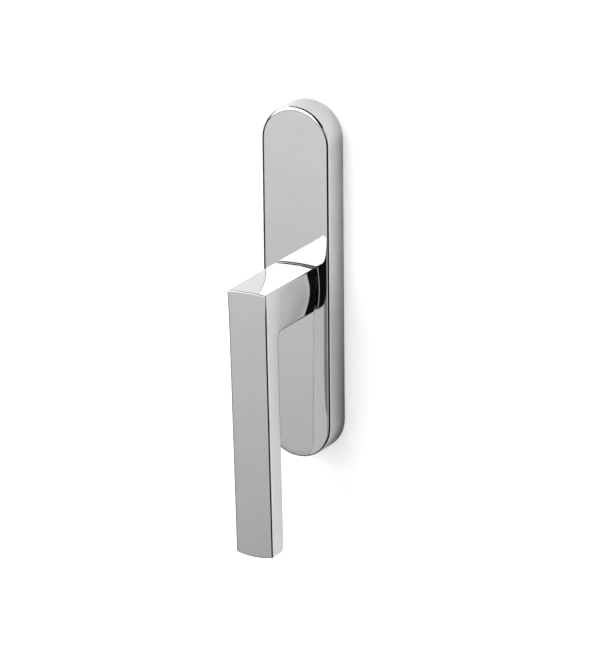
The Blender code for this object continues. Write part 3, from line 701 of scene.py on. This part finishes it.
def handle_lever():
    """The whole lever as one skin, from the spindle hole to the grip's end."""
    bm = bmesh.new()
    rings = neck_rings(bm) + corner_rings(bm) + grip_rings(bm)
    for near, far in zip(rings, rings[1:]):
        bridge(bm, near, far)
    bm.faces.new(rings[0])
    tip = rings[-1]
    across = ROW_STEPS + 1
    right_length = SIDE_STEPS + 1 + 2 * (CORNER_STEPS - 1)
    front = tip[:across]
    right = tip[across:across + right_length]
    back = tip[across + right_length:2 * across + right_length][::-1]
    left = tip[2 * across + right_length:]
    for i in range(ROW_STEPS):
        bm.faces.new((front[i], front[i + 1], back[i + 1], back[i]))
    bm.faces.new((front[-1], *right, back[-1]))
    bm.faces.new((back[0], *left, front[0]))
    piece = add_object("handle_lever_skin", bm)
    mouth = 0.0003
    radius = GRUB_HOLE_RADIUS
    drill = [
        (0, GRUB_HOLE_TOP), (radius, GRUB_HOLE_TOP), (radius, NECK_BOTTOM + mouth),
        (radius + 2 * mouth, NECK_BOTTOM - mouth), (0, NECK_BOTTOM - mouth),
    ]
    cut(piece, add_object("drill", turned(drill, (0, GRUB_Y), 40, "Z")))
    even_shading(piece)
    return piece


# ---- small turned and threaded pieces --------------------------------------------------------
def glide_ring():
    """Moulded collar with a flange, every edge eased."""
    gap = 0.0003                # to the cover all round
    hole = 0.0066
    step_radius = 0.0084
    step_y = -0.0118
    easing = 0.00015
    outer = NECK_HOLE_RADIUS - gap
    inside_cover = COVER_FACE + COVER_FRONT_WALL + gap
    profile = [
        (hole, RING_LOW.y), (outer, RING_LOW.y), (outer, inside_cover),
        (RING_HIGH.x, inside_cover), (RING_HIGH.x, RING_HIGH.y), (step_radius, RING_HIGH.y),
        (step_radius, step_y), (hole, step_y),
    ]
    return add_object("glide_ring_moulding", turned(rounded(profile, easing, 3, True), steps=96))


def fixing_screw(node, name):
    """Socket-head screw with a real helical thread."""
    low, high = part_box(node)
    centre = (0.0, (low.z + high.z) / 2)
    shank = 0.0024
    pitch = 0.0008
    depth = 0.00042
    crest = 0.12                # flat share of the thread's crest, and share of its flanks
    flanks = 0.72
    point = 0.0010
    key = 0.0023                # the head starts with the rings of its key hole, with six sides
    key_rings = 3
    key_depth = 0.0018
    ease = 0.0002
    chamfer = 0.0004
    fillet = 0.0003             # under the head
    head_height = 0.0030
    plain_length = 0.0030       # of the shank, before the thread starts
    head_rear = low.y + head_height
    thread_start = head_rear + plain_length
    steps = 36
    bm = bmesh.new()
    head = [
        (key, low.y + key_depth), (key, low.y + ease), (key + ease, low.y),
        (high.x - chamfer, low.y), (high.x, low.y + chamfer), (high.x, head_rear - ease),
        (high.x - ease, head_rear), (shank + fillet, head_rear), (shank, head_rear + fillet),
    ]
    rings = [[bm.verts.new((centre[0], low.y + key_depth + ease, centre[1]))]]
    for number, (radius, y) in enumerate(head):
        ring = []
        for i in range(steps):
            angle = 2 * pi * i / steps
            reach = radius
            if number < key_rings:
                sixth = (angle + pi / 6) % (pi / 3) - pi / 6
                reach = radius * cos(pi / 6) / cos(sixth)
            ring.append(bm.verts.new(
                (centre[0] + reach * cos(angle), y, centre[1] + reach * sin(angle))))
        rings.append(ring)
    rows_a_turn = 10
    rows = int((high.y - thread_start) / pitch * rows_a_turn)
    for row in range(rows + 1):
        y = thread_start + (high.y - thread_start) * row / rows
        run_in = min(1.0, (y - thread_start) / pitch)
        nose = max(0.0, y - (high.y - point))
        ring = []
        for i in range(steps):
            phase = y / pitch - i / steps
            wave = abs(2 * (phase - floor(phase)) - 1)
            groove = min(1.0, max(0.0, (wave - crest) / flanks))
            radius = min(shank - depth * groove * run_in, shank - nose)
            angle = 2 * pi * i / steps
            ring.append(bm.verts.new(
                (centre[0] + radius * cos(angle), y, centre[1] + radius * sin(angle))))
        rings.append(ring)
    for near, far in zip(rings, rings[1:]):
        if len(near) == 1:
            for i in range(steps):
                bm.faces.new((near[0], far[i - 1], far[i]))
        else:
            bridge(bm, near, far)
    bm.faces.new(rings[-1])
    return add_object(name, bm, 40)


def rear_plate_screw(node, name, turn):
    """Countersunk screw with a driver slot, each left at its own angle."""
    low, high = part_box(node)
    centre = ((low.x + high.x) / 2, (low.z + high.z) / 2)
    head = (high.x - low.x) / 2
    head_depth = 0.0011
    rim = 0.0002
    shank = 0.0012
    point = 0.0008
    tip = 0.0003
    slot_depth = 0.00055
    slot_width = 0.0006
    profile = [
        (0, high.y), (head - rim, high.y), (head, high.y - rim), (shank, high.y - head_depth),
        (shank, low.y + point), (tip, low.y), (0, low.y),
    ]
    screw = add_object(name, turned(rounded(profile, 0.0001, 2), centre, 48))
    slot = bmesh.new()
    bmesh.ops.create_cube(slot, size=1.0)
    place = Matrix.Translation((centre[0], high.y, centre[1])) @ Matrix.Rotation(turn, 4, "Y")
    size = Matrix.Diagonal((3 * head, 2 * slot_depth, slot_width, 1))
    bmesh.ops.transform(slot, matrix=place @ size, verts=slot.verts)
    cut(screw, add_object("slot", slot))
    even_shading(screw)
    return screw


def drive_peg(node, name):
    """Ground peg with a shoulder and a chamfered nose."""
    low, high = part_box(node)
    centre = (0.0, (low.z + high.z) / 2)
    radius = high.x
    neck = 0.0022
    shoulder = -0.0013
    chamfer = 0.0005
    line = 0.0001               # depth of the turned line near the nose
    line_start = high.y - 0.0026
    line_end = high.y - 0.0020
    profile = [
        (0, low.y), (neck, low.y), (neck, shoulder), (radius, shoulder),
        (radius, line_start), (radius - line, line_start + line),
        (radius - line, line_end - line), (radius, line_end),
        (radius, high.y - chamfer), (radius - chamfer, high.y), (0, high.y),
    ]
    easing = 0.00012
    piece = add_object(name, turned(rounded(profile, easing, 3), centre, 72))
    even_shading(piece)
    return piece


def neck_grub_screw():
    """Set screw with a hexagon key hole, seen from under the neck."""
    low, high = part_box("neck_grub_screw")
    radius = high.x
    point = 0.0004
    chamfer = 0.0003
    easing = 0.0001
    key = 0.0017
    below = low.z - 0.001
    profile = [
        (0, high.z), (radius - point, high.z), (radius, high.z - point),
        (radius, low.z + chamfer), (radius - chamfer, low.z), (0, low.z),
    ]
    screw = add_object("neck_grub_screw_turned",
                       turned(rounded(profile, easing, 2), (0, GRUB_Y), 48, "Z"))
    key_hole = [(0, GRUB_KEY_TOP), (key, GRUB_KEY_TOP), (key, below), (0, below)]
    cut(screw, add_object("key", turned(key_hole, (0, GRUB_Y), 6, "Z")))
    even_shading(screw)
    return screw


def edge_seal():
    """Rubber cord with a rounded section, pressed into the gap round the rim."""
    low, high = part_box("edge_seal")
    thickness = 0.0005
    corner = 0.0002
    outer = high.x
    inner = outer - thickness
    rim = rounded([(outer, low.y), (outer, high.y), (inner, high.y), (inner, low.y)],
                  corner, 4, True)
    bm = bmesh.new()
    rings = [stadium_ring(bm, half_width, y) for half_width, y in rim]
    rings.append(rings[0])
    for near, far in zip(rings, rings[1:]):
        bridge(bm, near, far)
    return add_object("edge_seal_cord", bm)


def eased_copy(node, name, radius=0.00015, sharp_angle=34):
    """A CAD piece with its sharp edges eased, for castings, pressings and gears."""
    bm = bmesh.new()
    bm.from_mesh(frame["nodes"][node].data)
    bmesh.ops.remove_doubles(bm, verts=bm.verts, dist=1e-6)
    bmesh.ops.dissolve_limit(bm, angle_limit=radians(1), verts=bm.verts, edges=bm.edges)
    piece = add_object(name, bm, sharp_angle)
    step = piece.modifiers.new("eased", "BEVEL")
    step.width = radius
    step.segments = 3
    step.limit_method = "ANGLE"
    step.angle_limit = radians(sharp_angle)
    step.use_clamp_overlap = True
    step.harden_normals = False
    apply_modifiers(piece)
    piece.data.shade_smooth()
    piece.data.set_sharp_from_angle(angle=radians(sharp_angle))
    even_shading(piece)
    return piece


# ---- putting the handle together -------------------------------------------------------------
FINISHES = {
    "polished_chrome": polished_chrome(),
    "cast_zinc": cast_zinc(),
    "plated_steel": plated_steel(),
    "spring_steel": spring_steel(),
    "black_acetal": black_acetal(),
    "seal_rubber": seal_rubber(),
}


def node_facts():
    """Each CAD node's material slot and body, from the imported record."""
    record = frame["record"]
    slots = {row["node"]: row["material_slot"] for row in record["subparts"]}
    bodies = {}
    for body, members in record["behaviour"]["bodies"].items():
        for node in members:
            bodies[node] = body
    return slots, bodies


SLOTS, BODIES = node_facts()


def stand_for(piece, node):
    """Gives a piece the finish and the body of the CAD node that it replaces."""
    piece.data.materials.clear()
    piece.data.materials.append(FINISHES[SLOTS[node]])
    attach(piece, BODIES[node])
    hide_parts(node)


def build_handle():
    stand_for(cover_plate(), "cover_plate")
    stand_for(handle_lever(), "handle_lever")
    stand_for(glide_ring(), "glide_ring")
    stand_for(neck_grub_screw(), "neck_grub_screw")
    stand_for(edge_seal(), "edge_seal")
    for side in ("upper", "lower"):
        stand_for(fixing_screw("fixing_screw_" + side, f"fixing_screw_{side}_threaded"),
                  "fixing_screw_" + side)
        stand_for(drive_peg("drive_peg_" + side, f"drive_peg_{side}_turned"), "drive_peg_" + side)
    for number in range(1, 5):
        node = f"rear_plate_screw_{number}"
        stand_for(rear_plate_screw(node, node + "_turned", radians(37 * number)), node)
    for node in sorted(frame["nodes"]):
        if not frame["nodes"][node].hide_render:    # a CAD piece that nothing stands for yet
            stand_for(eased_copy(node, node + "_eased"), node)


# ---- studio ----------------------------------------------------------------------------------
WALL_PLACE = 0.0003         # just behind the plate's rim
WALL_SIZE = 1.6
HOLE_MARGIN = 0.0010
FLOOR_PLACE = -0.30
FLOOR_SIZE = 12
CARD_PLACE = -0.40
CARD_LEFT = -0.42
CARD_LOW = -0.55
CARD_HIGH = 0.01
CARD_RAMP = (-0.32, -0.03)  # heights between which the card goes from its dim level to its bright one
CARD_LEVELS = (0.58, 0.95)

PAINT = 0.88                # how much light the white paint gives back
PAINT_TO_LENS = 0.60        # the lens sees it with less shading than the metal does
GLOW_TO_LENS = 0.50
RIM_SHADE = 0.62            # share of the paint darkened at the plate's rim as painted shade, at the wall's lower end
RIM_SHADE_HEIGHTS = (-0.085, 0.055)     # the painted shade fades out between these
RIM_SHADE_WIDTH = 0.007
LEVER_SHADE = 0.30          # share darkened in a band further out: a painted shadow of the lever on the wall
LEVER_SHADE_HEIGHTS = (0.0, 0.04)
LEVER_SHADE_START = (RIM_SHADE_WIDTH, 0.013)    # distances from the rim over which the band comes in
LEVER_SHADE_STOP = (0.014, 0.024)
RIGHT_SIDE = (-0.004, 0.004)    # x over which all the shade comes in

KEY_PLACE = (-0.45, -1.25, 0.50)
KEY_SIZE = 1.0
KEY_POWER = 18
REAR_FILL_PLACE = (0.6, 1.1, 0.7)
REAR_FILL_SIZE = 0.8
REAR_FILL_POWER = 12

# Light that polished metal sees. Angles are in degrees: azimuth is nothing straight out from the
# window and grows towards the right, and elevation grows upwards. A span is (lowest, highest,
# softness), and a panel is a span of azimuth, a span of elevation and a brightness.
PANELS = {
    "apron": ((-44, -4, 2), (-15, 1, 2), 0.95),
    "upper_left": ((-110, -58, 5), (20, 45, 4), 1.1),
    "left_side": ((-175, -64, 6), (-40, -13, 3), 0.30),
    "facing": ((-3, 9, 3), (-9, 3, 4), 0.20),
}
DARK_LEFT = ((-152, -88, 4), (-14, 13, 3))
RIGHT_WALL = ((12, 130, 3), (-40, 60, 4))
SOFTBOX_LEVEL = 3.2
RIGHT_WALL_LEVEL = 1.10
BEHIND_LEVEL = 0.60
BEHIND_START = (-0.02, 0.10)    # y of a direction over which the light behind the window comes in
DARK_LEVEL = 0.012
FILL_LEVEL = 0.36           # for matt surfaces

# Slanting edges: (slope, start, end) of the fade, measured on one angle plus slope times the other.
SOFTBOX_LOW = (0.0, -5, 2)
SOFTBOX_TOP = (0.35, 20, 24)
SOFTBOX_LEFT = (0.55, -52, -48)
SOFTBOX_RIGHT = (-0.33, -11, -7)
RIGHT_WALL_TOP = (-0.25, 9, 15)
RIGHT_WALL_LEFT = (1.5, 58, 68)
RIGHT_WALL_FAR = (0.0, 70, 76)


def stage_mesh(name, bm, look):
    mesh = bpy.data.meshes.new(name)
    bm.to_mesh(mesh)
    bm.free()
    mesh.materials.append(look)
    made = bpy.data.objects.new(name, mesh)
    bpy.context.scene.collection.objects.link(made)
    return made


def contact_shade(nodes):
    """Painted shade: how much the wall's paint is darkened on the plate's right, close to it and in a
    band standing for the lever's shadow.
    """
    place = nodes.add("ShaderNodeTexCoord").outputs["Object"]
    axes = nodes.add("ShaderNodeSeparateXYZ", {"Vector": place})
    x, z = axes.outputs["X"], axes.outputs["Z"]
    lower_spine = COVER_MIDDLE - COVER_HALF_STRAIGHT
    below = nodes.math("MINIMUM", nodes.math("SUBTRACT", z, lower_spine), 0.0)
    squares = nodes.math("ADD", nodes.math("MULTIPLY", x, x), nodes.math("MULTIPLY", below, below))
    distance = nodes.math("SUBTRACT", nodes.math("SQRT", squares), COVER_HALF_WIDTH)
    amount = nodes.ramp(z, *RIM_SHADE_HEIGHTS, RIM_SHADE, 0.0)
    close = nodes.math("MULTIPLY", nodes.ramp(distance, 0.0, RIM_SHADE_WIDTH, 1.0, 0.0), amount)
    band = nodes.math("MULTIPLY", nodes.ramp(distance, *LEVER_SHADE_START),
                      nodes.ramp(distance, *LEVER_SHADE_STOP, 1.0, 0.0))
    amount = nodes.ramp(z, *LEVER_SHADE_HEIGHTS, LEVER_SHADE, 0.0)
    lever_shade = nodes.math("MULTIPLY", band, amount)
    shade = nodes.math("ADD", close, lever_shade)
    return nodes.math("MULTIPLY", shade, nodes.ramp(x, *RIGHT_SIDE))


def white_paint(name, shaded=False):
    """Matt white, lifted for the lens, and clear from behind so that the handle's rear shows; shaded
    adds painted shade near the plate, which the lens doesn't see.
    """
    made = bpy.data.materials.new(name)
    made.use_nodes = True
    nodes = Nodes(made.node_tree)
    output = nodes.add("ShaderNodeOutputMaterial")
    to_lens = nodes.add("ShaderNodeLightPath").outputs["Is Camera Ray"]
    white = grey(PAINT)
    if shaded:
        # painted shade: the paint is darkened towards black near the plate's right, for every ray but
        # the lens's
        white = nodes.mix(contact_shade(nodes), white, grey(0.0))
    paint = nodes.mix(to_lens, white, grey(PAINT_TO_LENS))
    matt = nodes.add("ShaderNodeBsdfDiffuse", {"Color": paint})
    lift = nodes.math("MULTIPLY", to_lens, GLOW_TO_LENS)
    glow = nodes.add("ShaderNodeEmission", {"Strength": lift})
    lit = nodes.add("ShaderNodeAddShader")
    made.node_tree.links.new(matt.outputs[0], lit.inputs[0])
    made.node_tree.links.new(glow.outputs[0], lit.inputs[1])
    clear = nodes.add("ShaderNodeBsdfTransparent")
    side = nodes.add("ShaderNodeNewGeometry").outputs["Backfacing"]
    both = nodes.add("ShaderNodeMixShader")
    made.node_tree.links.new(side, both.inputs[0])
    made.node_tree.links.new(lit.outputs[0], both.inputs[1])
    made.node_tree.links.new(clear.outputs[0], both.inputs[2])
    made.node_tree.links.new(both.outputs[0], output.inputs["Surface"])
    return made


def wall():
    """The window side of the studio, with an opening under the cover for what reaches into it."""
    bm = bmesh.new()
    hole = stadium_ring(bm, COVER_HALF_WIDTH - HOLE_MARGIN, WALL_PLACE)
    far = []
    for vert in hole:
        out = Vector((vert.co.x, 0, vert.co.z - COVER_MIDDLE)).normalized() * WALL_SIZE
        far.append(bm.verts.new((out.x, WALL_PLACE, max(out.z, FLOOR_PLACE))))
    bridge(bm, hole, far)
    for face in bm.faces:
        face.normal_update()
        if face.normal.y > 0:
            face.normal_flip()
    stage_mesh("studio_wall", bm, white_paint("studio_wall", shaded=True))


def floor_plane():
    bm = bmesh.new()
    bmesh.ops.create_grid(bm, x_segments=1, y_segments=1, size=FLOOR_SIZE,
                          matrix=Matrix.Translation((0, 0, FLOOR_PLACE)))
    made = stage_mesh("studio_floor", bm, white_paint("studio_floor"))
    made.visible_glossy = False


def grey_card():
    """Reflector below and to the left of the lens; only polished metal sees it."""
    look = bpy.data.materials.new("grey_card")
    look.use_nodes = True
    nodes = Nodes(look.node_tree)
    output = nodes.add("ShaderNodeOutputMaterial")
    place = nodes.add("ShaderNodeTexCoord").outputs["Object"]
    height = nodes.add("ShaderNodeSeparateXYZ", {"Vector": place}).outputs["Z"]
    level = nodes.ramp(height, *CARD_RAMP, *CARD_LEVELS, smooth=False)
    glow = nodes.add("ShaderNodeEmission", {"Strength": level, "Color": grey(1.0, 0.004)})
    look.node_tree.links.new(glow.outputs[0], output.inputs["Surface"])
    bm = bmesh.new()
    corners = ((CARD_LEFT, CARD_LOW), (0.0, CARD_LOW), (0.0, CARD_HIGH), (CARD_LEFT, CARD_HIGH))
    bm.faces.new([bm.verts.new((x, CARD_PLACE, z)) for x, z in corners])
    made = stage_mesh("grey_card", bm, look)
    made.visible_camera = False
    made.visible_diffuse = False
    made.visible_shadow = False


def metal_light(nodes):
    """Brightness in each direction of the studio that polished metal sees."""
    direction = nodes.add("ShaderNodeTexCoord").outputs["Generated"]
    axes = nodes.add("ShaderNodeSeparateXYZ", {"Vector": direction})
    x, y, z = axes.outputs[0], axes.outputs[1], axes.outputs[2]
    to_degrees = 180 / pi
    toward_front = nodes.math("MULTIPLY", y, -1.0)
    azimuth = nodes.math("MULTIPLY", nodes.math("ARCTAN2", x, toward_front), to_degrees)
    elevation = nodes.math("MULTIPLY", nodes.math("ARCSINE", z), to_degrees)

    def times(*factors):
        product = factors[0]
        for factor in factors[1:]:
            product = nodes.math("MULTIPLY", product, factor)
        return product

    def window(value, low, high, soft):
        rise = nodes.ramp(value, low - soft, low + soft)
        fall = nodes.ramp(value, high - soft, high + soft, 1.0, 0.0)
        return times(rise, fall)

    def panel(azimuths, elevations):
        return times(window(azimuth, *azimuths), window(elevation, *elevations))

    def edge(one, other, slope, start, end, before=0.0, after=1.0):
        """Fades from before to after as one angle, leaning with the other, passes the edge."""
        leaning = nodes.math("ADD", one, nodes.math("MULTIPLY", other, slope))
        return nodes.ramp(leaning, start, end, before, after)

    softbox = times(edge(elevation, azimuth, *SOFTBOX_LOW),
                    edge(elevation, azimuth, *SOFTBOX_TOP, 1.0, 0.0),
                    edge(azimuth, elevation, *SOFTBOX_LEFT),
                    edge(azimuth, elevation, *SOFTBOX_RIGHT, 1.0, 0.0), SOFTBOX_LEVEL)
    beside = nodes.math("MAXIMUM", edge(azimuth, elevation, *RIGHT_WALL_LEFT),
                        edge(azimuth, elevation, *RIGHT_WALL_FAR))
    right_wall = times(edge(elevation, azimuth, *RIGHT_WALL_TOP, 1.0, 0.0), beside,
                       panel(*RIGHT_WALL), RIGHT_WALL_LEVEL)
    dark_left = nodes.math("SUBTRACT", 1.0, panel(*DARK_LEFT))
    behind = times(nodes.ramp(y, *BEHIND_START), dark_left, BEHIND_LEVEL)
    parts = [softbox, right_wall, behind]
    for azimuths, elevations, brightness in PANELS.values():
        parts.append(times(panel(azimuths, elevations), brightness))
    level = DARK_LEVEL
    for part in parts:
        level = nodes.math("ADD", level, part)
    return level


def world():
    """White to the lens, an even fill for matt surfaces, and a dark studio in the reflections."""
    made = bpy.data.worlds.new("studio")
    made.use_nodes = True
    nodes = Nodes(made.node_tree)
    output = nodes.add("ShaderNodeOutputWorld")
    path = nodes.add("ShaderNodeLightPath")
    seen_in_metal = nodes.add("ShaderNodeBackground", {"Strength": metal_light(nodes)})
    fill = nodes.add("ShaderNodeBackground", {"Color": grey(1.0), "Strength": FILL_LEVEL})
    white = nodes.add("ShaderNodeBackground", {"Color": grey(1.0), "Strength": 1.0})

    def choose(share, one, two):
        node = nodes.add("ShaderNodeMixShader")
        made.node_tree.links.new(share, node.inputs[0])
        made.node_tree.links.new(one, node.inputs[1])
        made.node_tree.links.new(two, node.inputs[2])
        return node.outputs[0]

    light = choose(path.outputs["Is Glossy Ray"], fill.outputs[0], seen_in_metal.outputs[0])
    light = choose(path.outputs["Is Camera Ray"], light, white.outputs[0])
    made.node_tree.links.new(light, output.inputs["Surface"])
    bpy.context.scene.world = made


def area_light(name, place, size, power):
    """A round light aimed at the origin, for matt surfaces only."""
    data = bpy.data.lights.new(name, "AREA")
    data.shape = "DISK"
    data.size = size
    data.energy = power
    light = bpy.data.objects.new(name, data)
    light.location = place
    light.rotation_mode = "QUATERNION"
    light.rotation_quaternion = (-Vector(place)).to_track_quat("-Z", "Y")
    light.visible_glossy = False
    light.visible_camera = False
    bpy.context.scene.collection.objects.link(light)


def studio():
    wall()
    floor_plane()
    grey_card()
    world()
    area_light("key", KEY_PLACE, KEY_SIZE, KEY_POWER)
    area_light("rear_fill", REAR_FILL_PLACE, REAR_FILL_SIZE, REAR_FILL_POWER)
    bpy.context.scene.view_settings.view_transform = "Standard"


make_camera()
build_handle()
studio()
